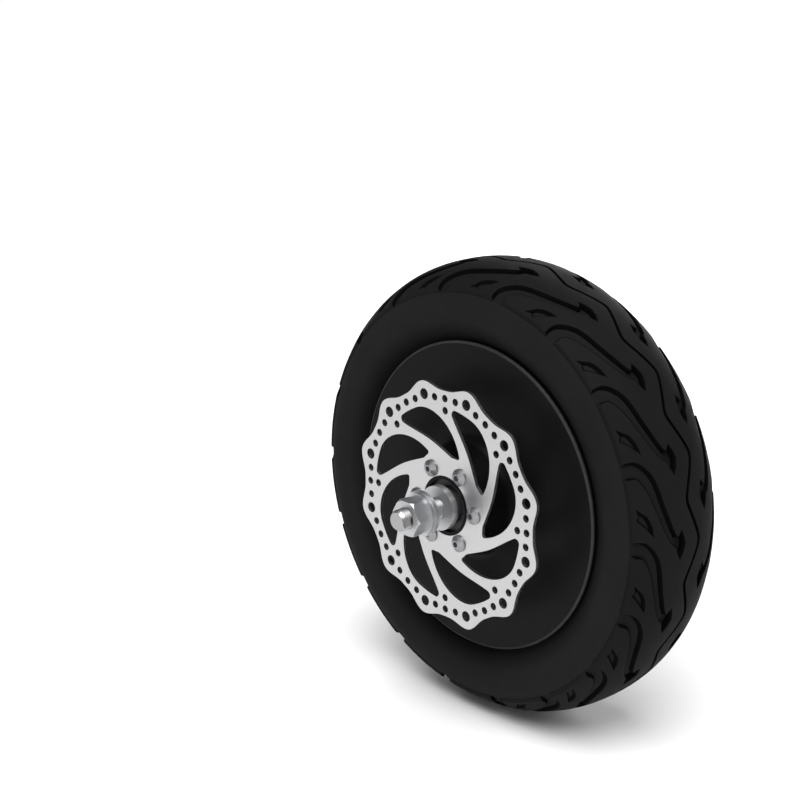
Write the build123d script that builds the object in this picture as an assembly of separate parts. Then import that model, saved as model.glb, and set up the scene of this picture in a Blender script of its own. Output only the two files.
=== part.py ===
from build123d import *
from math import cos, radians, sin
import os

# Hub motor wheel of a small electric scooter, in millimetres.
# The axle lies along Y, the brake side is -Y, +Z is up, and the origin is the wheel's centre.
# Angles are seen from the brake side: 0 is +X, and 90 is +Z.

# Driving dimensions
TYRE_R = 130.0            # over the crown of the tread
TREAD_EDGE_R = 117.7
TREAD_HALF_WIDTH = 32.5
CROWN_POWER = 2.5         # higher is flatter across the middle
TYRE_BULGE = 35.0         # half width at the widest place of the sidewall
LIP_R = 88.0              # top of the rim flange
LIP_Y = 30.1              # outer side of both rim flanges
LIP_ROUND = 1.5           # on the outer edge of both flanges
BEAD_SEAT_R = 82.6
WELL_R = 80.9
MOTOR_CAVITY_R = 72.0
WALL = 5.0
ROTOR_R = 70.0            # over the tips of the wave edge
ROTOR_THICKNESS = 2.0
ROTOR_SEAT_Y = -49.7
AXLE_END_Y = 88.0
CLAMP_Y = 58.0            # inner clamp face for the frame's dropout, each side
DROPOUT_GAP = 10.0
POLES = 30
TEETH = 27
STACK_HALF = 15.0         # half width of the stator's iron stack

# Fits, as radial gaps
SNUG = 0.02               # pressed or seated
THREAD_GAP = 0.05
RUNNING_GAP = 0.05        # a lip or journal that turns
RUBBER_GAP = 0.1          # tyre bead on its seat

# Bearings, 15 x 35 x 11
BEARING_BORE_R = 7.5
BEARING_OUTER_R = 17.5
BEARING_WIDTH = 11.0
BEARING_Y = 30.0          # inner side of both bearings
BEARING_FAR_Y = BEARING_Y + BEARING_WIDTH
BEARING_MIDDLE_Y = BEARING_Y + BEARING_WIDTH / 2
BALL_R = 2.975
BALLS = 8
BALL_PITCH_R = 12.5
GROOVE_GAP = 0.03
OUTER_LAND_R = 14.3
INNER_LAND_R = 10.7
SHIELD_THICKNESS = 0.8
PRELOAD = 0.6             # room for the spring washer behind the cover-side bearing

# Axle
AXLE_SHOULDER_R = 10.0
THREAD_R = 6.0
FLATS_ACROSS = 10.0
THREAD_PITCH = 1.25
SHOULDER_Y = 54.0         # where the journal ends and the thread begins
SLEEVE_R = 9.5
CABLE_BORE_R = 3.2
CABLE_SLOT_Y = 22.0
GROMMET_LENGTH = 8.0
GROMMET_BORE_R = 2.3

# Shaft seals
SEAL_R = 15.0
SEAL_IN_Y = 42.0
SEAL_OUT_Y = 48.5

# Motor
FLUX_RING_R = MOTOR_CAVITY_R - SNUG
MAGNET_OUTER_R = 67.5
MAGNET_INNER_R = 64.5
MAGNET_HALF = 15.0
STATOR_R = 63.9
YOKE_OUTER_R = 44.0
YOKE_INNER_R = 38.0
TOOTH_WIDTH = 6.0
TOOTH_TIP = 2.0
SLOT_OPENING = 2.2
INSULATOR = 1.0
COIL_INNER_R = 45.4
COIL_OUTER_R = 59.4
COIL_END = 3.0            # how far a coil stands out past the insulator
CARRIER_HALF = 12.0
KEY = (5.0, 20.0, 5.0)
CIRCLIP = 1.2
BOARD_Y = 19.6
BOARD_THICKNESS = 1.6
SENSOR_SLOTS = (-3, 0, 3)

# Covers and fasteners
COVER_R = 79.6
COVER_SEAT_Y = 25.0
GASKET = 0.5
COVER_SCREWS = 8
COVER_SCREW_PCD_R = 75.9
COVER_HOLE_Y = 11.0       # foot of the screw holes in the rim
COVER_DISH_R = 68.0       # the cover's face is a little lower inside this
COVER_DISH = 1.0
M4_R = 2.0
M4_HEAD_R = 3.6
M4_CONE = 1.75
SCREW_SINK = 0.4          # how far the screw heads lie below the cover's face
M5_R = 2.5
M5_HEAD_R = 4.75
M5_HEAD_HEIGHT = 2.8
ROTOR_BOLTS = 6
ROTOR_BOLT_PCD_R = 22.0
ROTOR_HOLE_Y = -38.0      # foot of the bolt holes in the boss
ROTOR_NOSE_R = 16.95
ROTOR_FLANGE_R = 29.0

# Valve, low on the cover side
VALVE_R = 77.4
VALVE_ANGLE = -90.0
VALVE_STEM_R = 3.1
VALVE_TOP_Y = 43.0
VALVE_BASE_Y = 8.0
VALVE_NECK_Y = 38.0       # where the thin nose for the cap begins
VALVE_NOSE_R = 2.6
VALVE_PITCH = 0.75

# Brake rotor pattern
WAVES = 12
WAVE_PHASE = 15.8
VALLEY_R = 65.2
WAVE_SHARPNESS = 1.5
BIG_HOLE_R, BIG_HOLE_PCD_R = 3.05, 62.6
SMALL_HOLE_R, SMALL_HOLE_PCD_R = 2.1, 60.9
SMALL_HOLE_STEP = 7.5
ARMS = 8
ARM_HOLE_PCD_R = 54.2
ARM_HOLE_ANGLE = 0.6
WINDOW_OUTER_R = 56.2


def polar(radius, angle):
    return radius * cos(radians(angle)), radius * sin(radians(angle))


def side_plane(y):
    """Sketch plane across the axle at y: local x is +X, local y is +Z, and it extrudes towards -Y."""
    return Plane(origin=(0, y, 0), x_dir=(1, 0, 0), z_dir=(0, -1, 0))


def turned(*corners):
    """Solid of revolution about the axle from (radius, y) corners."""
    return revolve(make_face(Polyline(*corners, close=True)), Axis.Y)


def ring(inner_r, outer_r, y_from, y_to):
    return turned((inner_r, y_from), (outer_r, y_from), (outer_r, y_to), (inner_r, y_to))


def rod(radius, y_from, y_to, at=(0, 0)):
    """Round bar along the axle direction, with its centre at (x, z)."""
    profile = side_plane(y_to) * Pos(*at) * Circle(radius)
    return extrude(profile, amount=y_to - y_from)


def plate(sketch, y_from, y_to):
    """Flat piece with the sketch's outline, from y_from to y_to."""
    return extrude(side_plane(y_to) * sketch, amount=y_to - y_from)


def turn_by(shape, angle):
    """Turn about the axle, from +X towards +Z."""
    return Rot(0, -angle, 0) * shape


def around(shape, count, start=0.0):
    return [turn_by(shape, start + 360 / count * step) for step in range(count)]


def flipped(shape):
    """The same piece on the other side of the wheel."""
    return mirror(shape, about=Plane.XZ)


def cut(shape, *tools):
    for tool in tools:
        shape = shape - tool
    return shape


def turned_at(radius, *corners):
    """Solid of revolution about a line along Y that stands at +X, at the given radius."""
    return Pos(radius, 0, 0) * turned(*corners)


def thread(radius, pitch, y_from, y_to):
    """(radius, y) corners of V-shaped thread turns, drawn as plain rings."""
    corners = []
    for turn in range(int((y_to - y_from) / pitch)):
        y = y_from + pitch * turn
        corners += [(radius, y), (radius - 0.55 * pitch, y + pitch / 2)]
    return corners + [(radius, y + pitch)]


def circles_of(body, radius, y):
    """The body's round edges of this radius about the axle, at y."""
    found = body.edges().filter_by(GeomType.CIRCLE)
    return [e for e in found if abs(e.radius - radius) < 0.01 and abs(e.arc_center.Y - y) < 0.01]


def air_port(radius):
    """Drilling from the valve's bore out to the rim well."""
    x, z = polar(VALVE_R, VALVE_ANGLE)
    drill = Cylinder(radius, WELL_R - VALVE_R + 2, align=(Align.CENTER, Align.CENTER, Align.MAX))
    return Pos(x, VALVE_BASE_Y + 2, z) * drill


def save(node, *shapes):
    """Write one node; identical pieces go in together as separate solids."""
    whole = shapes[0] if len(shapes) == 1 else Compound(children=list(shapes))
    export_step(whole, f"parts/{node}.step")


# Tyre and rim

def crown(y):
    """Tread radius at y, for the smooth crown."""
    return TREAD_EDGE_R + (TYRE_R - TREAD_EDGE_R) * (1 - abs(y / TREAD_HALF_WIDTH) ** CROWN_POWER)


def tyre():
    """Hollow tubeless tyre with round shoulders and a bead in each flange."""
    heel_y, toe_y = 26.0, 19.6
    bead_r = BEAD_SEAT_R + RUBBER_GAP
    over_lip_r = LIP_R + 0.4
    tread = [(crown(y), y) for y in (0, 9, 17, 24, 29, TREAD_HALF_WIDTH)]
    edge_slope = (TREAD_EDGE_R - TYRE_R) * CROWN_POWER / TREAD_HALF_WIDTH
    sidewall = [tread[-1], (112.0, 34.5), (104.5, TYRE_BULGE), (96.5, 33.0), (over_lip_r, 28.2)]
    bead = [sidewall[-1], (over_lip_r, 26.95), (bead_r, heel_y), (bead_r, toe_y), (85.0, 19.0)]
    lining = [bead[-1], (92.0, 25.5), (103.0, 29.0), (113.0, 25.0), (120.5, 13.0), (123.0, 0)]
    edges = [Spline(*tread, tangents=[(0, 1), (edge_slope, 1)]), Spline(*sidewall), Polyline(*bead),
             Spline(*lining, tangents=[(1, 1.5), (0, -1)])]
    half = make_face(edges + [Line(lining[-1], tread[0])])
    return revolve(half + mirror(half, about=Plane.XZ), Axis.Y)


def hub_shell():
    """Cast rim with the brake-side wall and the boss that carries the bearing and the brake rotor."""
    foot_round, nose_y = 6.0, ROTOR_SEAT_Y - 1.9
    body = turned(
        (SEAL_R + SNUG, nose_y), (ROTOR_NOSE_R, nose_y), (ROTOR_NOSE_R, ROTOR_SEAT_Y),
        (ROTOR_FLANGE_R, ROTOR_SEAT_Y), (ROTOR_FLANGE_R + 3, -LIP_Y), (LIP_R, -LIP_Y),
        (LIP_R, -27.3), (BEAD_SEAT_R, -26.3), (BEAD_SEAT_R, -19.0), (WELL_R, -17.0),
        (WELL_R, 17.0), (BEAD_SEAT_R, 19.0), (BEAD_SEAT_R, 26.3), (LIP_R, 27.3), (LIP_R, LIP_Y),
        (COVER_R + 0.2, LIP_Y), (COVER_R + 0.2, COVER_SEAT_Y), (MOTOR_CAVITY_R, COVER_SEAT_Y),
        (MOTOR_CAVITY_R, WALL - LIP_Y), (BEARING_OUTER_R + SNUG, WALL - LIP_Y),
        (BEARING_OUTER_R + SNUG, -BEARING_FAR_Y),
        (SEAL_R + SNUG, -BEARING_FAR_Y))
    body = fillet(circles_of(body, LIP_R, -LIP_Y) + circles_of(body, LIP_R, LIP_Y), LIP_ROUND)
    body = fillet(circles_of(body, ROTOR_FLANGE_R + 3, -LIP_Y), foot_round)
    rotor_hole = rod(M5_R + SNUG, ROTOR_SEAT_Y, ROTOR_HOLE_Y, polar(ROTOR_BOLT_PCD_R, 0))
    rotor_holes = around(rotor_hole, ROTOR_BOLTS)
    cover_hole = rod(M4_R + SNUG, COVER_HOLE_Y, COVER_SEAT_Y, polar(COVER_SCREW_PCD_R, 0))
    cover_holes = around(cover_hole, COVER_SCREWS, 180 / COVER_SCREWS)
    valve_hole = rod(VALVE_STEM_R + THREAD_GAP, VALVE_BASE_Y, LIP_Y + 1, polar(VALVE_R, VALVE_ANGLE))
    return cut(body, *rotor_holes, *cover_holes, valve_hole, air_port(1.2))


# Far-side cover

def side_cover():
    """Removable cover with the second bearing's boss."""
    plate_in_y, seal_y = COVER_SEAT_Y + GASKET, BEARING_FAR_Y + PRELOAD
    boss_y, boss_r, below = 50.0, 22.0, COVER_SEAT_Y - 5
    dish_y = LIP_Y - COVER_DISH
    body = turned(
        (BEARING_OUTER_R + SNUG, plate_in_y), (COVER_R, plate_in_y), (COVER_R, LIP_Y - 0.6),
        (COVER_R - 0.6, LIP_Y), (COVER_DISH_R + 1.2, LIP_Y), (COVER_DISH_R, dish_y),
        (boss_r + 10, dish_y), (boss_r + 2.5, LIP_Y + 6), (boss_r, boss_y - 1.5),
        (boss_r - 1.5, boss_y), (SEAL_R + SNUG, boss_y), (SEAL_R + SNUG, seal_y),
        (BEARING_OUTER_R + SNUG, seal_y))
    top, gap = LIP_Y - SCREW_SINK, 0.15
    sink = turned_at(COVER_SCREW_PCD_R, (0, below), (M4_R + gap, below), (M4_R + gap, top - M4_CONE),
                     (M4_HEAD_R + gap, top), (M4_HEAD_R + gap, LIP_Y + 1), (0, LIP_Y + 1))
    notch = rod(VALVE_STEM_R + 0.4, below, LIP_Y + 1, polar(VALVE_R, VALVE_ANGLE))
    return cut(body, *around(sink, COVER_SCREWS, 180 / COVER_SCREWS), notch)


def cover_gasket():
    body = ring(MOTOR_CAVITY_R + 0.3, COVER_R - 0.2, COVER_SEAT_Y + SNUG, COVER_SEAT_Y + GASKET - SNUG)
    hole = rod(M4_R + 0.3, COVER_SEAT_Y, LIP_Y, polar(COVER_SCREW_PCD_R, 0))
    notch = rod(VALVE_STEM_R + 0.4, COVER_SEAT_Y, LIP_Y, polar(VALVE_R, VALVE_ANGLE))
    return cut(body, *around(hole, COVER_SCREWS, 180 / COVER_SCREWS), notch)


def cover_screws():
    """Countersunk M4 screws with a hexagon socket."""
    top, tip = LIP_Y - SCREW_SINK, COVER_HOLE_Y + 2
    screw = turned_at(COVER_SCREW_PCD_R, (0, tip), (M4_R - 0.5, tip), (M4_R, tip + 0.5),
                      (M4_R, top - M4_CONE), (M4_HEAD_R, top), (0, top))
    socket = plate(Pos(*polar(COVER_SCREW_PCD_R, 0)) * RegularPolygon(1.25, 6), top - 1.5, top)
    return around(screw - socket, COVER_SCREWS, 180 / COVER_SCREWS)


# Valve

def valve_stem():
    """Metal stem screwed into the rim, with a shoulder, an air port to the tyre and a threaded nose."""
    base = VALVE_BASE_Y + 0.1
    turns = thread(VALVE_STEM_R, VALVE_PITCH, LIP_Y, VALVE_NECK_Y - 0.8)
    stem = turned_at(VALVE_R, (0, base), (VALVE_STEM_R - 0.6, base), (VALVE_STEM_R, base + 0.6), *turns,
                     (VALVE_NOSE_R, VALVE_NECK_Y), (VALVE_NOSE_R, VALVE_TOP_Y - 0.4),
                     (VALVE_NOSE_R - 0.4, VALVE_TOP_Y), (0, VALVE_TOP_Y))
    bore_foot = VALVE_BASE_Y + 1.0
    bore = turned_at(VALVE_R, (0, bore_foot), (1.6, bore_foot), (1.6, VALVE_TOP_Y), (0, VALVE_TOP_Y))
    stem = turn_by(stem - bore, VALVE_ANGLE)
    return stem - air_port(0.9)


def valve_nut():
    """Thin hexagon nut on the stem, against the rim and the cover."""
    flats_r, seat, thickness = 4.6, LIP_Y + SNUG, 2.6
    centre = polar(VALVE_R, VALVE_ANGLE)
    nut = plate(Pos(*centre) * RegularPolygon(flats_r, 6, major_radius=False), seat, seat + thickness)
    return nut - rod(VALVE_STEM_R + THREAD_GAP, seat, seat + thickness, centre)


def valve_core():
    core = turned_at(VALVE_R, (0, 30.0), (0.7, 30.0), (0.7, 33.0), (1.5, 34.0), (1.5, VALVE_TOP_Y - 1.5),
                     (0.45, VALVE_TOP_Y - 1.5), (0.45, VALVE_TOP_Y - 0.3), (0, VALVE_TOP_Y - 0.3))
    return turn_by(core, VALVE_ANGLE)


def valve_cap():
    inner_r, outer_r = VALVE_NOSE_R + THREAD_GAP, 3.9
    foot, roof, top = VALVE_NECK_Y + 0.3, VALVE_TOP_Y + 0.6, VALVE_TOP_Y + 2.5
    cap = turned_at(VALVE_R, (inner_r, foot), (outer_r, foot), (outer_r, top - 1.0), (outer_r - 1.0, top),
                    (0, top), (0, roof), (inner_r, roof))
    groove = rod(0.35, foot + 0.7, top - 1.0, polar(outer_r + 0.1, 0))
    grooves = [Pos(VALVE_R, 0, 0) * turn_by(groove, 360 / 12 * step) for step in range(12)]
    return turn_by(cut(cap, *grooves), VALVE_ANGLE)


# Brake rotor

def nearest(sketch, point):
    return sketch.vertices().sort_by_distance(Vector(*point))[0]


def wave_edge():
    """Outer edge of the rotor: narrow rounded tips and shallow hollows between them."""
    points = []
    for step in range(WAVES * 8):
        angle = 360 / (WAVES * 8) * step
        swell = (1 + cos(radians(WAVES * angle))) / 2
        points.append(polar(VALLEY_R + (ROTOR_R - VALLEY_R) * swell ** WAVE_SHARPNESS, angle + WAVE_PHASE))
    return make_face(Spline(*points, periodic=True))


def rotor_window():
    """One curved window between two swept arms."""
    leading = [polar(30.5, -111), polar(38.8, -101), polar(48.2, -88), polar(54.6, -75),
               polar(WINDOW_OUTER_R, -64)]
    trailing = [polar(WINDOW_OUTER_R, -47.5), polar(47.0, -55), polar(37.3, -71), polar(32.5, -83),
                polar(29.0, -99)]
    outer = ThreePointArc(leading[-1], polar(WINDOW_OUTER_R, -57), trailing[0])
    window = make_face([Spline(*leading), outer, Spline(*trailing), Line(trailing[-1], leading[0])])
    window = fillet(nearest(window, trailing[0]), 2.6)
    return fillet([nearest(window, trailing[-1]), nearest(window, leading[0])], 1.4)


def brake_rotor():
    """Wave rotor: drilled friction ring, swept arms and a flange with the bolt circle."""
    outline = wave_edge() - Circle(ROTOR_NOSE_R + 0.05)
    for step in range(ARMS):
        outline -= Rot(0, 0, 360 / ARMS * step) * rotor_window()
    holes = [(BIG_HOLE_R, BIG_HOLE_PCD_R, WAVE_PHASE + 360 / WAVES * wave) for wave in range(WAVES)]
    for wave in range(WAVES):
        middle = WAVE_PHASE + 360 / WAVES * (wave + 0.5)
        holes += [(SMALL_HOLE_R, SMALL_HOLE_PCD_R, middle + SMALL_HOLE_STEP * k) for k in (-1, 0, 1)]
    holes += [(SMALL_HOLE_R, ARM_HOLE_PCD_R, ARM_HOLE_ANGLE + 360 / ARMS * arm) for arm in range(ARMS)]
    holes += [(M5_R + 0.15, ROTOR_BOLT_PCD_R, 360 / ROTOR_BOLTS * bolt) for bolt in range(ROTOR_BOLTS)]
    front, back = ROTOR_SEAT_Y - ROTOR_THICKNESS, ROTOR_SEAT_Y
    body = plate(outline, front, back)
    return cut(body, *[rod(r, front - 1, back + 1, polar(pcd_r, angle)) for r, pcd_r, angle in holes])


def rotor_bolts():
    """Button-head M5 bolts with a hexagon socket."""
    seat = ROTOR_SEAT_Y - ROTOR_THICKNESS
    top, tip = seat - M5_HEAD_HEIGHT, ROTOR_HOLE_Y - 0.9
    bolt = turned_at(ROTOR_BOLT_PCD_R, (0, top), (2.2, top), (M5_HEAD_R, seat - 0.9), (M5_HEAD_R, seat),
                     (M5_R, seat), (M5_R, tip - 0.6), (M5_R - 0.6, tip), (0, tip))
    socket = plate(Pos(*polar(ROTOR_BOLT_PCD_R, 0)) * RegularPolygon(1.7, 6), top, top + 1.8)
    return around(bolt - socket, ROTOR_BOLTS)


# Bearings and seals, drawn on the cover side and flipped for the brake side

def race_groove():
    """Ball track: a round ring about the axle, in the middle of the bearing."""
    middle = BEARING_MIDDLE_Y
    return revolve(Pos(BALL_PITCH_R, middle) * Circle(BALL_R + GROOVE_GAP), Axis.Y)


def bearing_outer_race():
    return ring(OUTER_LAND_R, BEARING_OUTER_R, BEARING_Y, BEARING_FAR_Y) - race_groove()


def bearing_inner_race():
    return ring(BEARING_BORE_R + SNUG, INNER_LAND_R, BEARING_Y + SNUG, BEARING_FAR_Y) - race_groove()


def bearing_balls():
    ball = Pos(BALL_PITCH_R, BEARING_MIDDLE_Y, 0) * Sphere(BALL_R)
    return around(ball, BALLS)


def bearing_cage():
    middle, half = BEARING_MIDDLE_Y, 3.7
    body = ring(BALL_PITCH_R - 0.9, BALL_PITCH_R + 0.9, middle - half, middle + half)
    pocket = Pos(BALL_PITCH_R, middle, 0) * Rot(0, 90, 0) * Cylinder(BALL_R + GROOVE_GAP, 4)
    return cut(body, *around(pocket, BALLS))


def bearing_shields():
    outer_y = BEARING_FAR_Y
    near = ring(INNER_LAND_R + 0.5, OUTER_LAND_R - SNUG, BEARING_Y, BEARING_Y + SHIELD_THICKNESS)
    return [near, ring(INNER_LAND_R + 0.5, OUTER_LAND_R - SNUG, outer_y - SHIELD_THICKNESS, outer_y)]


def shaft_seal():
    """Rubber lip seal that rides on the spacer sleeve."""
    return turned((SEAL_R, SEAL_IN_Y), (SEAL_R, SEAL_OUT_Y), (SLEEVE_R + 1.4, SEAL_OUT_Y),
                  (SLEEVE_R + RUNNING_GAP, SEAL_OUT_Y - 1.2), (SLEEVE_R + RUNNING_GAP, SEAL_OUT_Y - 2.2),
                  (SLEEVE_R + 1.2, SEAL_OUT_Y - 3.0), (SLEEVE_R + 1.6, SEAL_OUT_Y - 1.4),
                  (SEAL_R - 1.4, SEAL_OUT_Y - 1.4), (SEAL_R - 1.4, SEAL_IN_Y))


# Axle and what is clamped on it

def axle():
    """Fixed axle: thick middle, bearing journals, flatted threaded ends and a hollow cover-side end."""
    half = [(0, 0), (AXLE_SHOULDER_R, 0), (AXLE_SHOULDER_R, BEARING_Y), (BEARING_BORE_R, BEARING_Y),
            (BEARING_BORE_R, SHOULDER_Y), (THREAD_R, SHOULDER_Y),
            *thread(THREAD_R, THREAD_PITCH, SHOULDER_Y + 1, AXLE_END_Y - 1.2),
            (THREAD_R - 1.2, AXLE_END_Y), (0, AXLE_END_Y)]
    profile = make_face(Polyline(*half, close=True))
    body = revolve(profile + mirror(profile, about=Plane.XZ), Axis.Y)
    flat = Box(THREAD_R, AXLE_END_Y - SHOULDER_Y, 4 * THREAD_R, align=(Align.MIN, Align.MIN, Align.CENTER))
    flats = [Pos(FLATS_ACROSS / 2, SHOULDER_Y, 0) * flat]
    flats.append(mirror(flats[0], about=Plane.YZ))
    flats += [flipped(piece) for piece in flats]
    bore = rod(CABLE_BORE_R, CABLE_SLOT_Y, AXLE_END_Y)
    slot = Pos(0, CABLE_SLOT_Y, 0) * Rot(0, 90, 0) * Cylinder(
        CABLE_BORE_R, AXLE_SHOULDER_R + 1, align=(Align.CENTER, Align.CENTER, Align.MIN))
    width, length, height = KEY
    keyway = Pos(0, 0, AXLE_SHOULDER_R - height / 2) * Box(
        width + 2 * SNUG, length + 2 * SNUG, height, align=(Align.CENTER, Align.CENTER, Align.MIN))
    groove = ring(AXLE_SHOULDER_R - 1.0, AXLE_SHOULDER_R + 1, CARRIER_HALF, CARRIER_HALF + CIRCLIP)
    return cut(body, *flats, bore, slot, keyway, groove, flipped(groove))


def spacer_sleeve():
    return ring(BEARING_BORE_R + SNUG, SLEEVE_R, BEARING_FAR_Y + SNUG, SHOULDER_Y - SNUG)


def flatted_washer(outer_r, y_from, y_to):
    """Washer with a flatted hole that can't turn on the axle."""
    hole = Circle(THREAD_R + THREAD_GAP) & Rectangle(FLATS_ACROSS + 2 * THREAD_GAP, 3 * THREAD_R)
    return plate(Circle(outer_r) - hole, y_from, y_to)


def axle_nut():
    """Flanged M12 nut."""
    flange_y = CLAMP_Y + DROPOUT_GAP + 2.5 + SNUG
    flange = ring(THREAD_R + THREAD_GAP, 12.0, flange_y, flange_y + 2.0)
    top_y = flange_y + 11.0
    body = plate(RegularPolygon(9.5, 6, major_radius=False), flange_y + 2.0, top_y)
    dome = turned((0, flange_y), (9.9, flange_y), (11.2, top_y - 1.5), (9.9, top_y), (0, top_y))
    return cut(flange + (body & dome), rod(THREAD_R + THREAD_GAP, flange_y - 1, flange_y + 12))


def cable_grommet():
    """Rubber sleeve in the hollow end of the axle."""
    return ring(GROMMET_BORE_R, CABLE_BORE_R - SNUG, AXLE_END_Y - GROMMET_LENGTH, AXLE_END_Y)


# Motor

def flux_ring():
    return ring(MAGNET_OUTER_R + SNUG, FLUX_RING_R, -16.0, 16.0)


def magnets():
    """Bonded magnets, one to a pole, with a small gap between neighbours."""
    arc = ring(MAGNET_INNER_R, MAGNET_OUTER_R, -MAGNET_HALF, MAGNET_HALF)
    width = 2 * MAGNET_INNER_R * sin(radians(180 / POLES)) - 0.8
    block = Pos(MAGNET_OUTER_R, 0, 0) * Box(10, 2 * MAGNET_HALF, width)
    return around(arc & block, POLES)


def lamination():
    """Outline of the stator iron: a yoke with one tooth to a slot."""
    tip_inner_r = STATOR_R - TOOTH_TIP
    outline = Circle(YOKE_OUTER_R)
    tooth = Rectangle(STATOR_R - YOKE_INNER_R - 3, TOOTH_WIDTH, align=(Align.MIN, Align.CENTER))
    for step in range(TEETH):
        outline += Rot(0, 0, 360 / TEETH * step) * Pos(YOKE_INNER_R + 2, 0) * tooth
    rim = Circle(STATOR_R + 5) - Circle(tip_inner_r)
    slot = Pos(tip_inner_r - 1, 0) * Rectangle(12, SLOT_OPENING, align=(Align.MIN, Align.CENTER))
    for step in range(TEETH):
        rim -= Rot(0, 0, 360 / TEETH * (step + 0.5)) * slot
    return ((outline + rim) & Circle(STATOR_R)) - Circle(YOKE_INNER_R + SNUG)


def slot_insulators(iron):
    end = plate(iron, STACK_HALF + SNUG, STACK_HALF + INSULATOR)
    return [end, flipped(end)]


def windings():
    """One coil to a tooth, wider outwards, with rounded ends."""
    end_y, gap = STACK_HALF + INSULATOR, 0.12
    half_in = COIL_INNER_R * sin(radians(180 / TEETH)) - 0.25
    half_out = COIL_OUTER_R * sin(radians(180 / TEETH)) - 0.25
    outline = Polyline((COIL_INNER_R, -half_in), (COIL_OUTER_R, -half_out), (COIL_OUTER_R, half_out),
                       (COIL_INNER_R, half_in), close=True)
    body = plate(make_face(outline), -end_y - COIL_END, end_y + COIL_END)
    corners = [e for e in body.edges().filter_by(GeomType.LINE)
               if abs(abs(e.center().Y) - end_y - COIL_END) < 0.01 and abs(e.center().Z) > 1]
    body = fillet(corners, 1.8)
    core = Pos(COIL_INNER_R - 1, 0, 0) * Box(
        COIL_OUTER_R - COIL_INNER_R + 2, 2 * (end_y + gap), TOOTH_WIDTH + 2 * gap,
        align=(Align.MIN, Align.CENTER, Align.CENTER))
    return around(body - core, TEETH)


def stator_carrier():
    """Aluminium spider between the axle and the stator iron."""
    hub_r, rim_r = 16.0, 33.5
    body = ring(AXLE_SHOULDER_R + SNUG, YOKE_INNER_R, -CARRIER_HALF + SNUG, CARRIER_HALF - SNUG)
    recess = ring(hub_r, rim_r, 4.0, CARRIER_HALF + 1)
    width, _, height = KEY
    keyway = Box(width + 2 * SNUG, 2 * CARRIER_HALF, AXLE_SHOULDER_R + height / 2 + SNUG,
                 align=(Align.CENTER, Align.CENTER, Align.MIN))
    windows = around(rod(6.0, -CARRIER_HALF, CARRIER_HALF, polar(25.0, 0)), 6, 30)
    return cut(body, recess, flipped(recess), keyway, *windows)


def stator_key():
    width, length, height = KEY
    return Pos(0, 0, AXLE_SHOULDER_R) * Box(width, length, height - 2 * SNUG)


def carrier_circlips():
    """Open snap rings in the axle's grooves, one each side of the carrier."""
    inner_r, outer_r = AXLE_SHOULDER_R - 1.0 + SNUG, AXLE_SHOULDER_R + 2.2
    clip = ring(inner_r, outer_r, CARRIER_HALF + SNUG, CARRIER_HALF + CIRCLIP - SNUG)
    gap = Pos(0, CARRIER_HALF, -AXLE_SHOULDER_R) * Box(3.2, 3, 8)
    return [clip - gap, flipped(clip - gap)]


def hall_board():
    """Curved circuit board that holds the position sensors."""
    sector = (Circle(63.0) - Circle(50.0)) & make_face(Polyline(
        (0, 0), polar(120, 40), polar(120, 90), polar(120, 140), close=True))
    return plate(sector, BOARD_Y, BOARD_Y + BOARD_THICKNESS)


def hall_sensors():
    """Sensor bodies in the slot mouths, each with a leg strip up to the board."""
    mouth_r, head_y, top_slot = 60.7, 13.0, round(TEETH / 4) + 0.5
    on_end = (Align.CENTER, Align.MIN, Align.CENTER)
    head = Pos(mouth_r, head_y, 0) * Box(1.5, 4.0, 4.0)
    legs = Pos(mouth_r, head_y, 0) * Box(0.4, BOARD_Y - SNUG - head_y, 2.8, align=on_end)
    return [turn_by(head + legs, 360 / TEETH * (top_slot + slot)) for slot in SENSOR_SLOTS]


def preload_washer():
    """Spring washer that pushes the cover-side bearing inwards."""
    return ring(SEAL_R + 0.4, BEARING_OUTER_R - 0.1, BEARING_FAR_Y + SNUG, BEARING_FAR_Y + PRELOAD - SNUG)


def main():
    os.makedirs("parts", exist_ok=True)
    save("tyre", tyre())
    save("hub_shell", hub_shell())
    save("side_cover", side_cover())
    save("cover_gasket", cover_gasket())
    save("cover_screws", *cover_screws())
    save("valve_stem", valve_stem())
    save("valve_nut", valve_nut())
    save("valve_core", valve_core())
    save("valve_cap", valve_cap())
    save("brake_rotor", brake_rotor())
    save("rotor_bolts", *rotor_bolts())
    save("flux_ring", flux_ring())
    save("magnets", *magnets())
    save("preload_washer", preload_washer())
    iron = lamination()
    save("stator_core", plate(iron, -STACK_HALF, STACK_HALF))
    save("slot_insulators", *slot_insulators(iron))
    save("windings", *windings())
    save("stator_carrier", stator_carrier())
    save("stator_key", stator_key())
    save("carrier_circlips", *carrier_circlips())
    save("hall_board", hall_board())
    save("hall_sensors", *hall_sensors())
    save("axle", axle())
    save("cable_grommet", cable_grommet())
    sided = {
        "bearing_outer_race": [bearing_outer_race()],
        "bearing_inner_race": [bearing_inner_race()],
        "bearing_balls": bearing_balls(),
        "bearing_cage": [bearing_cage()],
        "bearing_shields": bearing_shields(),
        "shaft_seal": [shaft_seal()],
        "spacer_sleeve": [spacer_sleeve()],
        "inner_washer": [flatted_washer(12.5, SHOULDER_Y, CLAMP_Y)],
        "lock_washer": [flatted_washer(12.5, CLAMP_Y + DROPOUT_GAP, CLAMP_Y + DROPOUT_GAP + 2.5)],
        "axle_nut": [axle_nut()],
    }
    for name, shapes in sided.items():
        save("right_" + name, *shapes)
        save("left_" + name, *[flipped(shape) for shape in shapes])


main()
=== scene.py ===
from math import asin, cos, pi, radians, sin

import bmesh
import bpy
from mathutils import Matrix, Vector
from mathutils.geometry import delaunay_2d_cdt


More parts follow.
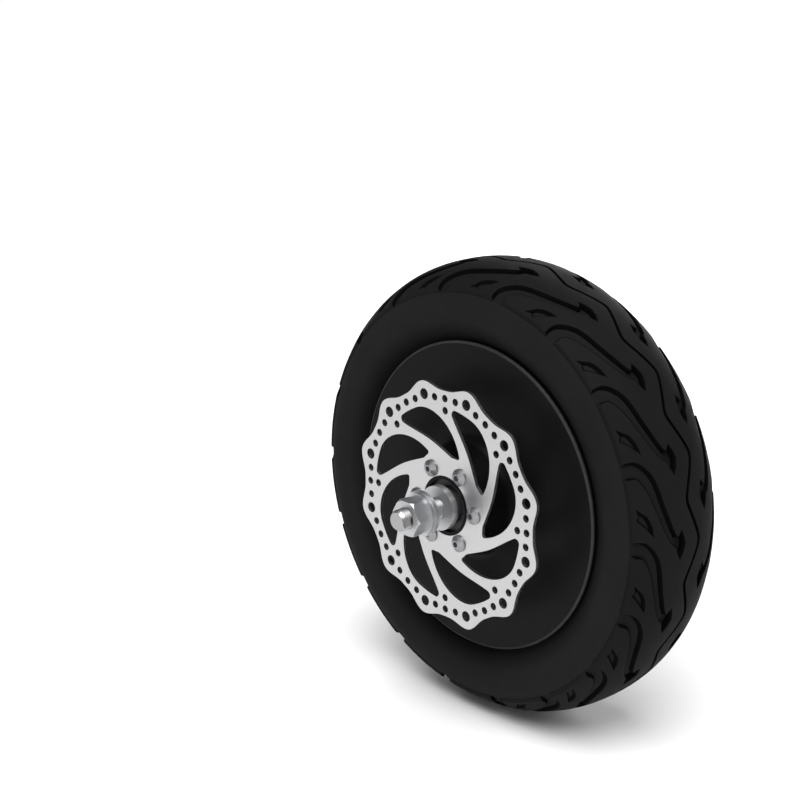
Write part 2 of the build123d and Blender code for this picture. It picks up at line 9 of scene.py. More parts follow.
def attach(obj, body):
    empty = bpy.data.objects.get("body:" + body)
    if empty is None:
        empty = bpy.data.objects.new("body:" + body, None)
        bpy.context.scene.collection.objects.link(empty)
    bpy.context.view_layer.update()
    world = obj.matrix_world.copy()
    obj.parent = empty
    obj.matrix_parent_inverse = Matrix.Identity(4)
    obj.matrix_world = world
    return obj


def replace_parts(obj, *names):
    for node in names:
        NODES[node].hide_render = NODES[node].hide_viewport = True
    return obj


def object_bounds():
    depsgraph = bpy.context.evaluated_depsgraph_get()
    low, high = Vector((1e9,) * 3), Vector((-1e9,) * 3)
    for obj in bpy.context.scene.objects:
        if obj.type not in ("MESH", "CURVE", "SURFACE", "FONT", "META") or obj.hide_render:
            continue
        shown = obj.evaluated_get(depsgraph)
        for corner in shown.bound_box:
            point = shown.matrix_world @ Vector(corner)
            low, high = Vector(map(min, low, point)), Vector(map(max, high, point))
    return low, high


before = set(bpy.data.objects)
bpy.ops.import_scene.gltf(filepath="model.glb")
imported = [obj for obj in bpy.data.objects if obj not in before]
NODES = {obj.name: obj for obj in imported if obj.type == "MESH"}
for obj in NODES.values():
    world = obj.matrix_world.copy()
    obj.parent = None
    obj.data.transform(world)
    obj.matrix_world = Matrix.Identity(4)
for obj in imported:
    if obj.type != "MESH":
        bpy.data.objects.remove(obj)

# A hub motor wheel standing on a pale floor. The frame is in metres, with the axle along Y and
# the brake side at -Y. The tyre's own geometry is worked out in millimetres and degrees here.

MM = 0.001
LIP_R = 88.0 * MM         # rim flange
CAD_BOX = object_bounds()

# Camera
VIEW_AZIMUTH, VIEW_ELEVATION = 47.12, 16.56
CAMERA_PLACE = Vector((0.6384, -0.6782, 0.3262))
LENS, SENSOR = 78.1, 36.0
BACKDROP_R = 12.0

# Studio
WORLD_LIGHT = 0.16
FLOOR_HALF = 30.0
FLOOR_GAP = 0.0002

# Tyre section, in millimetres
TYRE_R = 130.0
TREAD_EDGE_R = 117.7
TREAD_HALF_WIDTH = 32.5
CROWN_POWER = 2.5

# Tread pattern
REPEATS = 18
PERIOD = 360 / REPEATS
MM_PER_DEGREE = 2.2       # along the tread, at its mean radius
GRID = 2.4                # spacing of the plain points between the grooves
WALL_INSET = 0.5          # how far a groove's wall leans in, from top to floor
CHAMFER = 0.6             # width of the worn edge along a cut
CHAMFER_DEPTH = 0.45      # how far the worn edge drops over that width
CLEAR = 0.7               # plain points stay this far from a groove's lines
PLAIN_ROWS = range(-16, 40)     # rows of plain points, past both slanted seams
SMOOTH_STEPS = 5          # pieces of a curve between two of its given points
POCKET_DEPTH, CURVE_DEPTH, MOUTH_DEPTH = 3.1, 2.0, 2.5
RECESS_DEPTH, ZIGZAG_DEPTH = 1.4, 2.3
MERGE, SLIVER = 0.008 * MM, 0.001 * MM


def tread_radius(y):
    return TREAD_EDGE_R + (TYRE_R - TREAD_EDGE_R) * (1 - abs(y / TREAD_HALF_WIDTH) ** CROWN_POWER)


# ---------------------------------------------------------------- tyre section

# Outer side of one sidewall, from the tread's edge to the rim: (radius, distance from mid-plane)
SIDEWALL = [(117.7, 32.5), (115.2, 32.65), (114.8, 33.4), (112.7, 34.35), (109.6, 34.95),
            (105.5, 35.0), (101.5, 34.5), (98.0, 33.55), (95.0, 32.25), (92.6, 30.7), (90.9, 28.9),
            (89.6, 27.3), (88.4, 26.9)]
# Inside of one half, from the rim's lip round the bead to the crown
LINING = [(88.4, 26.6), (82.7, 26.0), (82.7, 19.6), (85.0, 19.0), (88.5, 22.3), (92.0, 25.5),
          (97.0, 28.0), (103.0, 29.0), (108.5, 27.9), (113.0, 25.0), (117.2, 19.5), (120.5, 13.0),
          (122.4, 6.5), (123.0, 0.0)]


def arc_lengths(points):
    lengths = [0.0]
    for (r0, y0), (r1, y1) in zip(points, points[1:]):
        lengths.append(lengths[-1] + ((r1 - r0) ** 2 + (y1 - y0) ** 2) ** 0.5)
    return lengths


SIDE_LENGTHS = arc_lengths(SIDEWALL)
EDGE = TREAD_HALF_WIDTH
END = EDGE + SIDE_LENGTHS[-1]


def section(across):
    """(radius, y) of the smooth tyre; across is y on the tread and runs on down the sidewall."""
    if abs(across) <= EDGE:
        return tread_radius(across), across
    run = abs(across) - EDGE
    side = 1 if across > 0 else -1
    for k in range(len(SIDEWALL) - 1):
        if run <= SIDE_LENGTHS[k + 1] or k == len(SIDEWALL) - 2:
            part = (run - SIDE_LENGTHS[k]) / (SIDE_LENGTHS[k + 1] - SIDE_LENGTHS[k])
            (r0, y0), (r1, y1) = SIDEWALL[k], SIDEWALL[k + 1]
            return r0 + (r1 - r0) * part, side * (y0 + (y1 - y0) * part)


# ---------------------------------------------------------------- tread pattern

def smooth(points):
    """Catmull-Rom curve through the points."""
    ends = [points[0]] + points + [points[-1]]
    out = []
    for a, b, c, d in zip(ends, ends[1:], ends[2:], ends[3:]):
        for step in range(SMOOTH_STEPS):
            t = step / SMOOTH_STEPS
            out.append(tuple(0.5 * (2 * q + (r - p) * t + (2 * p - 5 * q + 4 * r - s) * t * t
                                    + (3 * q - p - 3 * r + s) * t ** 3)
                             for p, q, r, s in zip(a, b, c, d)))
    return out + [points[-1]]


def flat(points, turn, side):
    """(y, degrees) of the brake-side half to flat millimetres; side=1 gives the other half's mirror image."""
    return [Vector((-side * y, (angle + turn) * MM_PER_DEGREE)) for y, angle in points]


# The curved groove opens at the shoulder and ends in an arrow-shaped pocket: (y, degrees)
MOUTH_Y = -35.6
GROOVE_UPPER = [(-32.5, 22.8), (-29.6, 22.8), (-27.2, 22.1), (-24.5, 20.4), (-22.0, 17.9), (-20.5, 15.0),
                (-19.1, 11.6), (-17.1, 8.2), (-14.6, 5.0), (-12.6, 3.3)]
POCKET = [(-11.2, 3.2), (-9.4, 4.4), (-8.2, 3.2), (-7.1, 1.4), (-8.3, -0.6), (-9.9, -2.0), (-11.4, -0.6)]
GROOVE_LOWER = [(-12.4, 1.0), (-15.6, 2.3), (-19.3, 5.8), (-22.3, 10.2), (-25.5, 15.6), (-28.2, 18.5),
                (-30.2, 19.1), (-32.5, 19.1)]
BOLT_RECESS = [(-30.9, 31.2), (-29.4, 30.1), (-27.7, 29.3), (-26.4, 27.9), (-25.6, 26.3), (-24.9, 24.6),
               (-26.6, 25.9), (-28.4, 27.2), (-30.9, 28.7), (-30.0, 29.8)]
ZIGZAG_REACH, ZIGZAG_HALF, ZIGZAG_PEAK = 4.1, 1.05, 11.25
ZIGZAG_CORNERS = 0.94     # 1 would make the zigzag's corners sharp
ZIGZAG_STEPS = 20
ZIGZAG_LINES = (-ZIGZAG_HALF, WALL_INSET - ZIGZAG_HALF, ZIGZAG_HALF - WALL_INSET, ZIGZAG_HALF)
# Seam between two repeats, through plain rubber: (y, degrees)
SEAM = [(-32.5, 15.4), (-26.3, 13.5), (-22.3, 6.9), (-15.9, -1.25), (-9.3, -5.6), (-4.5, -4.4), (3.2, -4.4),
        (5.2, -12.0), (9.3, -15.6), (15.9, -11.25), (22.3, -3.1), (26.3, 3.5), (32.5, 5.4)]
SEAM_SPLIT = 6            # the zigzag crosses the seam just before this point of it
SEAM_CENTRE = -4.4
HALF_TURN = -10.0         # the other half's pattern is turned by half a period


def groove_outline():
    upper, lower = smooth(GROOVE_UPPER), smooth(GROOVE_LOWER)
    mouth = [(MOUTH_Y, GROOVE_LOWER[-1][1]), (MOUTH_Y, GROOVE_UPPER[0][1])]
    return mouth + upper + POCKET + lower


def zigzag(angle):
    """Place of the middle line across the tread, as a triangle wave with rounded corners."""
    wave = sin(2 * pi * (angle - ZIGZAG_PEAK) / PERIOD + pi / 2)
    return -ZIGZAG_REACH * asin(ZIGZAG_CORNERS * wave) / asin(ZIGZAG_CORNERS)


def inside(point, polygon):
    hit = False
    for a, b in zip(polygon, polygon[1:] + polygon[:1]):
        if (a.y > point.y) != (b.y > point.y):
            if point.x < a.x + (point.y - a.y) / (b.y - a.y) * (b.x - a.x):
                hit = not hit
    return hit


def gap(point, polygon):
    """Distance from the point to the polygon's sides."""
    best = 1e9
    for a, b in zip(polygon, polygon[1:] + polygon[:1]):
        ab = b - a
        t = max(0.0, min(1.0, (point - a).dot(ab) / max(ab.length_squared, 1e-12)))
        best = min(best, (point - a - ab * t).length)
    return best


def inset(polygon, distance):
    """The polygon moved in by the distance, corner by corner."""
    area = sum(a.x * b.y - a.y * b.x for a, b in zip(polygon, polygon[1:] + polygon[:1]))
    turn = 1 if area > 0 else -1
    out = []
    for before, here, after in zip(polygon[-1:] + polygon[:-1], polygon, polygon[1:] + polygon[:1]):
        u, v = (here - before).normalized(), (after - here).normalized()
        n = (Vector((-u.y, u.x)) + Vector((-v.y, v.x))) * turn
        n.normalize()
        lean = max(0.5, n.dot(Vector((-u.y, u.x)) * turn))
        out.append(here + n * distance / lean)
    return out


def blend_step(value, low, high):
    t = max(0.0, min(1.0, (value - low) / (high - low)))
    return t * t * (3 - 2 * t)


def groove_depth(across):
    """Deepest in the pocket, shallower along the curve, and level with the sidewall at the mouth."""
    y = abs(across)
    curve = (CURVE_DEPTH - POCKET_DEPTH) * blend_step(y, 11.0, 14.5)
    mouth = (MOUTH_DEPTH - CURVE_DEPTH) * blend_step(y, 24.0, 32.0)
    return POCKET_DEPTH + curve + mouth


def recess_depth(_across):
    return RECESS_DEPTH


class Pattern:
    """Outlines of one repeat, and the depth of the tread at any point of it."""

    def __init__(self):
        self.closed = []
        for side, turn in ((-1, 0.0), (1, HALF_TURN)):
            for outline, depth in ((groove_outline(), groove_depth), (BOLT_RECESS, recess_depth)):
                self.closed.append((flat(outline, turn, side), depth))

    def lines(self):
        """Every closed line that the mesh keeps: the chamfer's top, the outline and the wall's foot."""
        return [inset(outline, step) for outline, _ in self.closed for step in (-CHAMFER, 0.0, WALL_INSET)]

    def off_zigzag(self, point):
        return abs(point.x - zigzag(point.y / MM_PER_DEGREE))

    def depth(self, point):
        deepest = 0.0
        for outline, depth in self.closed:
            away = gap(point, outline)
            if inside(point, outline):
                wall = (depth(point.x) - CHAMFER_DEPTH) * min(1.0, away / WALL_INSET)
                deepest = max(deepest, CHAMFER_DEPTH + wall)
            else:
                deepest = max(deepest, CHAMFER_DEPTH * (1 - away / CHAMFER))
        off = self.off_zigzag(point)
        if off < ZIGZAG_HALF:
            deepest = max(deepest, ZIGZAG_DEPTH * min(1.0, (ZIGZAG_HALF - off) / WALL_INSET))
        return deepest

    def is_wall(self, point):
        """Whether the point is on the wall or chamfer of a cut in the tread."""
        if abs(point.x) > EDGE:
            return False
        if ZIGZAG_HALF - WALL_INSET < self.off_zigzag(point) < ZIGZAG_HALF:
            return True
        return any(gap(point, outline) < (WALL_INSET if inside(point, outline) else CHAMFER)
                   for outline, _ in self.closed)

    def surface(self, point):
        """(radius, y) of the cut tread at a flat point."""
        radius, y = section(point.x)
        cut = self.depth(point)
        if cut > 0:
            radius = min(radius, tread_radius(min(abs(y), TREAD_HALF_WIDTH)) - cut)
        return radius, y


def divided(points, spacing):
    """The polyline with extra points so that no step is longer than the spacing."""
    out = []
    for a, b in zip(points, points[1:]):
        count = max(1, round((b - a).length / spacing))
        out += [a.lerp(b, k / count) for k in range(count)]
    return out + [points[-1]]


def seam_line():
    """Seam from the brake side's rim to the far side's rim, with a point on each zigzag line."""
    left = Vector((-END, SEAM[0][1] * MM_PER_DEGREE))
    right = Vector((END, SEAM[-1][1] * MM_PER_DEGREE))
    points = [Vector((y, angle * MM_PER_DEGREE)) for y, angle in SEAM]
    middle = zigzag(SEAM_CENTRE)
    lines = [middle + off for off in ZIGZAG_LINES]
    crossing = [Vector((x, SEAM_CENTRE * MM_PER_DEGREE)) for x in lines]
    side_rows = [EDGE + run for run in SIDE_LENGTHS[1:-1]]
    out = [left] + [Vector((-row, left.y)) for row in reversed(side_rows)]
    out += divided(points[:SEAM_SPLIT] + crossing[:1], GRID) + crossing[1:3]
    out += divided(crossing[3:] + points[SEAM_SPLIT:], GRID)
    return out + [Vector((row, right.y)) for row in side_rows] + [right]


class Sheet:
    """Points and fixed lines of one flat repeat, made into triangles that keep every line."""

    def __init__(self):
        self.points, self.lines = [], []

    def add_line(self, points, closed=False):
        first = len(self.points)
        self.points += points
        numbers = list(range(first, len(self.points)))
        self.lines += list(zip(numbers, numbers[1:]))
        if closed:
            self.lines.append((numbers[-1], first))
        return numbers

    def triangles(self, border):
        made = delaunay_2d_cdt(self.points, self.lines, [border], 1, 1e-5)
        return made[0], made[2]


COLUMNS = 16              # steps of the sidewall and the lining in one repeat


def repeat_mesh():
    """One repeat of the outer surface: (radius, y, degrees) points, faces, and 1 for each wall of a cut."""
    pattern, sheet = Pattern(), Sheet()
    bottom = seam_line()
    up = Vector((0, PERIOD * MM_PER_DEGREE))
    top = [point + up for point in bottom]
    step = up / COLUMNS
    right = [bottom[-1] + step * k for k in range(1, COLUMNS)]
    left = [top[0] - step * k for k in range(1, COLUMNS)]
    domain = bottom + right + top[::-1] + left
    border = sheet.add_line(domain, closed=True)
    outlines = pattern.lines()
    for outline in outlines:
        sheet.add_line(outline, closed=True)
    angles = [SEAM_CENTRE + PERIOD * k / ZIGZAG_STEPS for k in range(ZIGZAG_STEPS + 1)]
    for off in ZIGZAG_LINES:
        line = [Vector((zigzag(angle) + off, angle * MM_PER_DEGREE)) for angle in angles]
        sheet.add_line(line)
        outlines.append(line + line[::-1])

    def is_free(point):
        return all(gap(point, outline) > CLEAR for outline in outlines)

    for side, start in ((-1, bottom[0]), (1, bottom[-1])):
        for run in SIDE_LENGTHS[:-1]:
            row = [Vector((side * (EDGE + run), start.y)) + step * k for k in range(COLUMNS + 1)]
            sheet.add_line(row[:1] + [point for point in row[1:-1] if is_free(point)] + row[-1:])
    for column in range(1, round(2 * EDGE / GRID)):
        for k in PLAIN_ROWS:
            point = Vector((column * GRID - EDGE, (k + 0.5 * (column % 2)) * GRID))
            if inside(point, domain) and gap(point, domain) > CLEAR and is_free(point):
                sheet.points.append(point)
    flat_points, faces = sheet.triangles(border)
    middles = [sum((flat_points[k] for k in face), Vector((0, 0))) / len(face) for face in faces]
    walls = [int(pattern.is_wall(middle)) for middle in middles]
    return [(*pattern.surface(point), point.y / MM_PER_DEGREE) for point in flat_points], faces, walls


def on_wheel(radius, y, degrees):
    """Point in metres from a radius, a place along the axle and an angle from +X towards +Z."""
    return Vector((radius * cos(radians(degrees)), y, radius * sin(radians(degrees)))) * MM


def new_piece(name, points, faces, body, materials, slots, sharp):
    """Mesh piece with merged, outward-facing surfaces that rides on the body; slots has one for each face."""
    mesh = bpy.data.meshes.new(name)
    mesh.from_pydata(points, [], faces)
    for material in materials:
        mesh.materials.append(material)
    mesh.polygons.foreach_set("material_index", slots)
    made = bmesh.new()
    made.from_mesh(mesh)
    bmesh.ops.remove_doubles(made, verts=made.verts, dist=MERGE)
    bmesh.ops.dissolve_degenerate(made, dist=SLIVER, edges=made.edges)
    bmesh.ops.recalc_face_normals(made, faces=made.faces)
    made.to_mesh(mesh)
    made.free()
    mesh.shade_smooth()
    mesh.set_sharp_from_angle(angle=radians(sharp))
    piece = bpy.data.objects.new(name, mesh)
    bpy.context.scene.collection.objects.link(piece)
    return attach(piece, body)


def tyre():
    """The whole tyre: the cut tread and sidewalls, the beads and the lining."""
    outer, faces, walls = repeat_mesh()
    points, polygons = [], []
    for turn in range(REPEATS):
        first = len(points)
        points += [on_wheel(radius, y, degrees + PERIOD * turn) for radius, y, degrees in outer]
        polygons += [[first + k for k in face] for face in faces]
    half = [SIDEWALL[-1]] + LINING
    rows = [(r, -y) for r, y in half] + half[:-1][::-1]
    columns = REPEATS * COLUMNS
    first = len(points)
    for radius, y in rows:
        points += [on_wheel(radius, y, SEAM[0][1] + PERIOD / COLUMNS * k) for k in range(columns)]
    for row in range(len(rows) - 1):
        for k in range(columns):
            a, b = first + row * columns, first + (row + 1) * columns
            polygons.append([a + k, a + (k + 1) % columns, b + (k + 1) % columns, b + k])
    # The walls and chamfers of the cuts take the darker groove rubber, a painted shade.
    slots = walls * REPEATS + [0] * columns * (len(rows) - 1)
    piece = new_piece("tyre_tread", points, polygons, "wheel", (rubber(), groove_painted_shade()), slots, sharp=28.0)
    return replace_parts(piece, "tyre")


# ---------------------------------------------------------------- materials

# RIM_SHADE darkens the rubber's colour by the rim: a painted shade.
RIM_SHADE = 90.0 * MM, 100.0 * MM       # radii over which the sidewall's lower part lightens
CREASE = 114.8 * MM, 115.2 * MM         # radii over which the sidewall changes to tread
# LIP_SIDES bounds the painted highlight on the rim's round edge.
LIP_SIDES = 28.9 * MM, 31.0 * MM        # the rim flange's edge, from the mid-plane
GROUND_LINES, TURNED_RINGS = 9000.0, 5200.0     # noise cycles in a metre
METAL_SPOTS, METAL_CHANGE = 60.0, 0.06
PLASTIC_GRAIN = 900.0
WIRE_PITCH, LAMINATION = 0.9 * MM, 0.5 * MM
NOISE_ROUGHNESS = 0.55


class Material:
    """Node material with short calls for the nodes that most of the materials share."""

    def __init__(self, name, base, metallic=0.0, roughness=0.5, **sockets):
        self.material = bpy.data.materials.new(name)
        self.material.use_nodes = True
        self.tree = self.material.node_tree
        self.shader = self.tree.nodes["Principled BSDF"]
        self.shader.inputs["Base Color"].default_value = (*base, 1)
        self.shader.inputs["Metallic"].default_value = metallic
        self.shader.inputs["Roughness"].default_value = roughness
        for socket, value in sockets.items():
            self.shader.inputs[socket.replace("_", " ")].default_value = value

    def node(self, kind, **links):
        """New node; each link is a value or another node's output, by the input's name."""
        node = self.tree.nodes.new(kind)
        for name, value in links.items():
            socket = node.inputs[int(name[1:])] if name[1:].isdigit() else node.inputs[name.replace("_", " ")]
            if isinstance(value, bpy.types.NodeSocket):
                self.tree.links.new(value, socket)
            else:
                socket.default_value = value
        return node

    def place(self):
        return self.node("ShaderNodeTexCoord").outputs["Object"]

    def math(self, operation, a, b=0.0):
        node = self.node("ShaderNodeMath", _0=a, _1=b)
        node.operation = operation
        return node.outputs[0]

    def noise(self, scale, detail=4.0, vector=None):
        vector = self.place() if vector is None else vector
        return self.node("ShaderNodeTexNoise", Vector=vector, Scale=scale, Detail=detail,
                         Roughness=NOISE_ROUGHNESS).outputs["Fac"]

    def spread(self, value, low, high, from_low=0.3, from_high=0.7):
        """The value stretched to run from low to high."""
        node = self.node("ShaderNodeMapRange", Value=value, From_Min=from_low, From_Max=from_high,
                         To_Min=low, To_Max=high)
        return node.outputs[0]

    def band(self, value, low, high, soft):
        """1 from low to high, falling to 0 over the soft distance outside."""
        rise = self.spread(value, 0.0, 1.0, low - soft, low)
        return self.math("MULTIPLY", rise, self.spread(value, 1.0, 0.0, high, high + soft))

    def shades(self, value, *stops):
        """Colour ramp through (place, colour) stops."""
        ramp = self.node("ShaderNodeValToRGB", Fac=value)
        elements = ramp.color_ramp.elements
        while len(elements) < len(stops):
            elements.new(0.5)
        for element, (place, colour) in zip(elements, stops):
            element.position = place
            element.color = (*colour, 1)
        return ramp.outputs["Color"]

    def scaled(self, colour, factor):
        node = self.node("ShaderNodeVectorMath", _0=colour, _3=factor)
        node.operation = "SCALE"
        return node.outputs[0]

    def set(self, socket, value):
        self.tree.links.new(value, self.shader.inputs[socket])

    def bump(self, height, strength, distance):
        """Bump of the height, on top of any bump that is there already."""
        normal = self.shader.inputs["Normal"]
        node = self.node("ShaderNodeBump", Height=height, Strength=strength, Distance=distance)
        if normal.is_linked:
            self.tree.links.new(normal.links[0].from_socket, node.inputs["Normal"])
        self.tree.links.new(node.outputs["Normal"], normal)

    def cylinder(self):
        """(radius, angle in turns, y) about the axle."""
        apart = self.node("ShaderNodeSeparateXYZ", Vector=self.place())
        x, y, z = (apart.outputs[k] for k in range(3))
        radius = self.math("SQRT", self.math("ADD", self.math("MULTIPLY", x, x), self.math("MULTIPLY", z, z)))
        angle = self.math("DIVIDE", self.math("ARCTAN2", z, x), 2 * pi)
        return radius, angle, y


def grey(level):
    return level, level, level


def rubber():
    """Moulded rubber with a dull skin: lightest on the sidewall, rougher down by the rim and darker there
    with a painted shade.
    """
    made = Material("tyre_rubber", grey(0.007), roughness=0.66, Specular_IOR_Level=0.05)
    radius, _, _ = made.cylinder()
    # Painted shade: the base colour falls to half down by the rim, in the crease under the lip.
    painted_rim_shade = made.spread(radius, 0.5, 1.0, *RIM_SHADE)
    sidewall = made.spread(radius, 1.36, 1.0, *CREASE)
    skin = made.shades(made.noise(26.0), (0.3, grey(0.007)), (0.72, grey(0.0086)))
    made.set("Base Color", made.scaled(skin, made.math("MULTIPLY", painted_rim_shade, sidewall)))
    gloss = made.spread(made.noise(140.0), 0.62, 0.7)
    made.set("Roughness", made.math("ADD", gloss, made.spread(painted_rim_shade, 0.2, 0.0, 0.5, 1.0)))
    made.bump(made.noise(1400.0, 3.0), 0.16, 0.00012)
    made.bump(made.noise(300.0, 2.0), 0.05, 0.0002)
    return made.material


def groove_painted_shade():
    """Rubber on the walls and chamfers of the cuts in the tread, darker than the skin: a painted shade in the
    cuts.
    """
    made = Material("groove_painted_shade", grey(0.0018), roughness=0.8, Specular_IOR_Level=0.02)
    made.set("Base Color", made.shades(made.noise(90.0), (0.3, grey(0.0014)), (0.7, grey(0.0023))))
    made.bump(made.noise(1100.0, 2.0), 0.15, 0.0001)
    return made.material


def powder_coat(name, level, gloss):
    """Black paint with a fine grain, and a painted highlight along the round edge of the rim."""
    made = Material(name, grey(level), roughness=0.42, Specular_IOR_Level=gloss)
    radius, _, y = made.cylinder()
    # Painted highlight: a lighter band on the rim's round edge, where the edge catches the light.
    painted_lip_highlight = made.band(radius, LIP_R - 1.2 * MM, LIP_R - 0.25 * MM, 0.35 * MM)
    outer = made.band(made.math("ABSOLUTE", y), *LIP_SIDES, 0.3 * MM)
    painted_lip_highlight = made.math("MULTIPLY", painted_lip_highlight, outer)
    painted_lip_highlight = made.math("MULTIPLY", painted_lip_highlight, made.spread(made.noise(160.0), 0.7, 1.0))
    shade = made.math("ADD", painted_lip_highlight, made.spread(made.noise(420.0), 0.0, 0.02))
    made.set("Base Color", made.shades(shade, (0.0, grey(level)), (1.0, grey(0.04))))
    made.set("Roughness", made.spread(made.noise(300.0), 0.41, 0.44))
    made.bump(made.noise(1100.0, 2.0), 0.1, 0.00008)
    return made.material


def rotor_steel():
    """Ground stainless steel: fine circular lines on the flat faces."""
    made = Material("rotor_steel", grey(0.62), metallic=1.0, roughness=0.34)
    radius, angle, _ = made.cylinder()
    across = made.math("MULTIPLY", radius, GROUND_LINES)
    along = made.math("MULTIPLY", angle, 14.0)
    lines = made.noise(1.0, 3.0, vector=made.node("ShaderNodeCombineXYZ", X=across, Y=along).outputs[0])
    made.set("Base Color", made.shades(lines, (0.25, (0.485, 0.485, 0.49)), (0.75, (0.575, 0.575, 0.58))))
    made.set("Roughness", made.spread(lines, 0.28, 0.42))
    made.bump(lines, 0.15, 0.00003)
    return made.material


def metal(name, colour, roughness, bump=0.05):
    """Plain worked metal with slight changes of colour and gloss and a very fine grain."""
    made = Material(name, colour, metallic=1.0, roughness=roughness)
    cloudy = made.noise(METAL_SPOTS)
    dark = tuple(c * (1 - METAL_CHANGE) for c in colour)
    light = tuple(min(1.0, c * (1 + METAL_CHANGE)) for c in colour)
    made.set("Base Color", made.shades(cloudy, (0.3, dark), (0.7, light)))
    gloss = made.noise(METAL_SPOTS * 3)
    made.set("Roughness", made.spread(gloss, roughness * 0.93, min(1.0, roughness * 1.08)))
    made.bump(made.noise(METAL_SPOTS * 60, 2.0), bump, 0.00002)
    return made.material


def turned_metal(name, colour, roughness):
    """Lathe-turned metal: fine rings along the axle."""
    made = Material(name, colour, metallic=1.0, roughness=roughness)
    radius, angle, y = made.cylinder()
    rings = made.noise(1.0, 2.0, vector=made.node(
        "ShaderNodeCombineXYZ", X=made.math("MULTIPLY", y, TURNED_RINGS),
        Y=made.math("MULTIPLY", angle, 3.0), Z=made.math("MULTIPLY", radius, TURNED_RINGS)).outputs[0])
    made.set("Base Color", made.shades(rings, (0.3, tuple(c * 0.86 for c in colour)), (0.7, colour)))
    made.set("Roughness", made.spread(rings, roughness * 0.8, roughness * 1.25))
    made.bump(rings, 0.12, 0.00003)
    return made.material


def plastic(name, colour, roughness):
    made = Material(name, colour, roughness=roughness)
    dark = tuple(c * 0.88 for c in colour)
    made.set("Base Color", made.shades(made.noise(50.0), (0.3, dark), (0.7, colour)))
    made.set("Roughness", made.spread(made.noise(150.0), roughness * 0.88, min(1.0, roughness * 1.12)))
    made.bump(made.noise(PLASTIC_GRAIN, 2.0), 0.15, 0.00006)
    return made.material


def copper_wire():
    """Varnished coils: parallel turns of wire around each tooth."""
    made = Material("copper_wire", (0.56, 0.2, 0.06), metallic=0.85, roughness=0.32, Coat_Weight=0.4)
    radius, _, _ = made.cylinder()
    turns = made.math("SINE", made.math("MULTIPLY", radius, 2 * pi / WIRE_PITCH))
    made.set("Base Color", made.shades(made.spread(turns, 0.0, 1.0, -1.0, 1.0),
                                       (0.1, (0.3, 0.09, 0.03)), (0.7, (0.6, 0.23, 0.08))))
    made.bump(turns, 0.8, 0.0003)
    return made.material


def sheet_iron():
    """Edges of stacked laminations along the axle."""
    made = Material("lamination_iron", grey(0.3), metallic=1.0, roughness=0.45)
    _, _, y = made.cylinder()
    layers = made.math("SINE", made.math("MULTIPLY", y, 2 * pi / LAMINATION))
    made.set("Base Color", made.shades(made.spread(layers, 0.0, 1.0, -1.0, 1.0),
                                       (0.2, grey(0.16)), (0.6, (0.32, 0.32, 0.34))))
    made.bump(layers, 0.5, 0.0001)
    return made.material


def circuit_board():
    made = Material("circuit_board", (0.02, 0.16, 0.06), roughness=0.3, Coat_Weight=0.5)
    made.set("Base Color", made.shades(made.noise(220.0, 1.0), (0.45, (0.015, 0.12, 0.045)),
                                       (0.55, (0.03, 0.2, 0.08))))
    made.bump(made.noise(400.0, 1.0), 0.1, 0.00005)
    return made.material


def dress(material, *nodes):
    """Give the material to CAD nodes, in all their slots."""
    for node in nodes:
        mesh = NODES[node].data
        if not mesh.materials:
            mesh.materials.append(material)
        for slot in range(len(mesh.materials)):
            mesh.materials[slot] = material


def both(name):
    return "left_" + name, "right_" + name


def dress_nodes():
    dress(powder_coat("hub_paint", 0.0026, 0.08), "hub_shell")
    # The cover has the hub's black paint, made lighter and glossier here: painted light, so the dim far side
    # reads.
    dress(powder_coat("cover_paint", 0.005, 0.16), "side_cover")
    dress(rotor_steel(), "brake_rotor")
    dress(metal("zinc_plate", (0.5, 0.505, 0.52), 0.44), *both("axle_nut"), *both("inner_washer"),
          *both("lock_washer"))
    dress(metal("bolt_steel", (0.3, 0.3, 0.31), 0.4), "rotor_bolts")
    dress(metal("black_steel", grey(0.045), 0.38), "cover_screws", "carrier_circlips")
    dress(turned_metal("axle_steel", grey(0.42), 0.4), "axle", "stator_key", *both("spacer_sleeve"))
    dress(turned_metal("bearing_steel", grey(0.6), 0.16), *both("bearing_outer_race"),
          *both("bearing_inner_race"))
    dress(metal("ball_steel", grey(0.66), 0.08, bump=0.0), *both("bearing_balls"))
    dress(plastic("cage_nylon", (0.55, 0.45, 0.28), 0.5), *both("bearing_cage"))
    dress(metal("shield_steel", grey(0.5), 0.35), *both("bearing_shields"), "preload_washer")
    dress(plastic("seal_rubber", grey(0.022), 0.5), *both("shaft_seal"), "cable_grommet")
    dress(plastic("gasket_fibre", (0.07, 0.075, 0.085), 0.8), "cover_gasket")
    dress(metal("valve_brass", (0.5, 0.44, 0.32), 0.4), "valve_stem", "valve_nut", "valve_core")
    dress(plastic("cap_plastic", grey(0.018), 0.45), "valve_cap")
    dress(metal("magnet_nickel", (0.5, 0.49, 0.47), 0.25), "magnets")
    dress(metal("flux_iron", (0.26, 0.26, 0.27), 0.5), "flux_ring")
    dress(sheet_iron(), "stator_core")
    dress(plastic("insulator_plastic", (0.68, 0.66, 0.58), 0.5), "slot_insulators")
    dress(copper_wire(), "windings")
    dress(metal("cast_aluminium", (0.56, 0.57, 0.58), 0.5, bump=0.3), "stator_carrier")
    dress(circuit_board(), "hall_board")
    dress(plastic("sensor_resin", grey(0.02), 0.4), "hall_sensors")


# ---------------------------------------------------------------- studio

def look_at(thing, target):
    thing.rotation_euler = (target - thing.location).to_track_quat("-Z", "Y").to_euler()


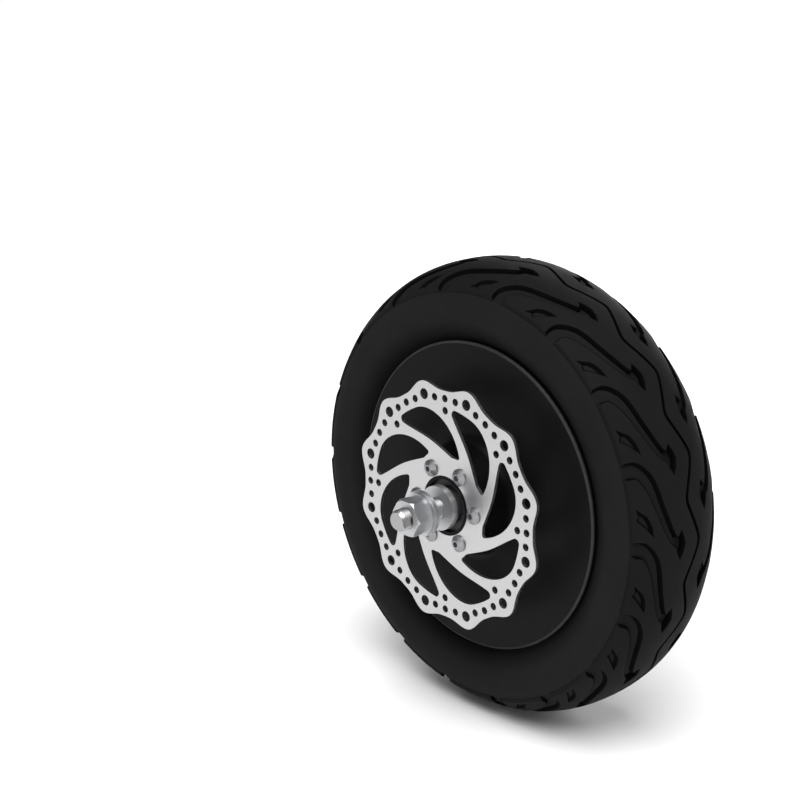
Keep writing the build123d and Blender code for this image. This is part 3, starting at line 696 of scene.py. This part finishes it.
def camera():
    data = bpy.data.cameras.new("camera")
    data.lens, data.sensor_width = LENS, SENSOR
    made = bpy.data.objects.new("camera", data)
    bpy.context.scene.collection.objects.link(made)
    made.location = CAMERA_PLACE
    azimuth, elevation = radians(VIEW_AZIMUTH), radians(VIEW_ELEVATION)
    towards = Vector((-sin(azimuth) * cos(elevation), cos(azimuth) * cos(elevation), -sin(elevation)))
    made.rotation_euler = towards.to_track_quat("-Z", "Y").to_euler()
    bpy.context.scene.camera = made


def soft_light(name, place, target, size, power):
    data = bpy.data.lights.new(name, "AREA")
    data.shape, data.size, data.energy = "SQUARE", size, power
    made = bpy.data.objects.new(name, data)
    bpy.context.scene.collection.objects.link(made)
    made.location = Vector(place)
    look_at(made, Vector(target))


def sky_light(name, direction, strength, spread):
    """Broad light from far above, even over the whole floor."""
    data = bpy.data.lights.new(name, "SUN")
    data.energy, data.angle = strength, radians(spread)
    made = bpy.data.objects.new(name, data)
    bpy.context.scene.collection.objects.link(made)
    made.location = Vector(direction)
    look_at(made, Vector((0, 0, 0)))


def floor():
    """Pale floor under the tyre."""
    half = FLOOR_HALF
    z = CAD_BOX[0].z - FLOOR_GAP
    mesh = bpy.data.meshes.new("floor")
    corners = [(-half, -half, z), (half, -half, z), (half, half, z), (-half, half, z)]
    mesh.from_pydata(corners, [], [(0, 1, 2, 3)])
    made = bpy.data.objects.new("floor", mesh)
    bpy.context.scene.collection.objects.link(made)
    pale = Material("pale_floor", grey(0.93), roughness=0.7, Specular_IOR_Level=0.2)
    pale.set("Base Color", pale.shades(pale.noise(3.0), (0.3, grey(0.92)), (0.7, grey(0.94))))
    mesh.materials.append(pale.material)


def backdrop():
    """White surround around the scene, for the camera alone."""
    mesh = bpy.data.meshes.new("backdrop")
    made = bmesh.new()
    bmesh.ops.create_uvsphere(made, u_segments=96, v_segments=48, radius=BACKDROP_R)
    made.to_mesh(mesh)
    made.free()
    surround = bpy.data.objects.new("backdrop", mesh)
    bpy.context.scene.collection.objects.link(surround)
    white = Material("white_backdrop", grey(0.0), roughness=1.0, Emission_Color=(1, 1, 1, 1),
                     Emission_Strength=1.0)
    mesh.materials.append(white.material)
    for kind in ("diffuse", "glossy", "transmission", "volume_scatter", "shadow"):
        setattr(surround, "visible_" + kind, False)


def studio():
    world = bpy.data.worlds.new("studio")
    bpy.context.scene.world = world
    world.use_nodes = True
    world.node_tree.nodes["Background"].inputs["Color"].default_value = (1, 1, 1, 1)
    world.node_tree.nodes["Background"].inputs["Strength"].default_value = WORLD_LIGHT
    bpy.context.scene.view_settings.view_transform = "Standard"
    sky_light("overhead", (0.25, -0.35, 1.0), 3.4, 50.0)
    soft_light("front_card", (0.35, -1.3, 0.05), (0, 0, 0), 0.8, 3.0)
    soft_light("upper_card", (0.5, -0.95, 1.2), (0, 0, 0), 1.0, 3.0)
    soft_light("rear_card", (1.2, 0.9, 0.9), (0, 0, 0), 0.8, 4.0)
    soft_light("cover_card", (-0.5, 1.3, 0.5), (0, 0, 0), 1.1, 12.0)


tyre()
dress_nodes()
floor()
backdrop()
studio()
camera()
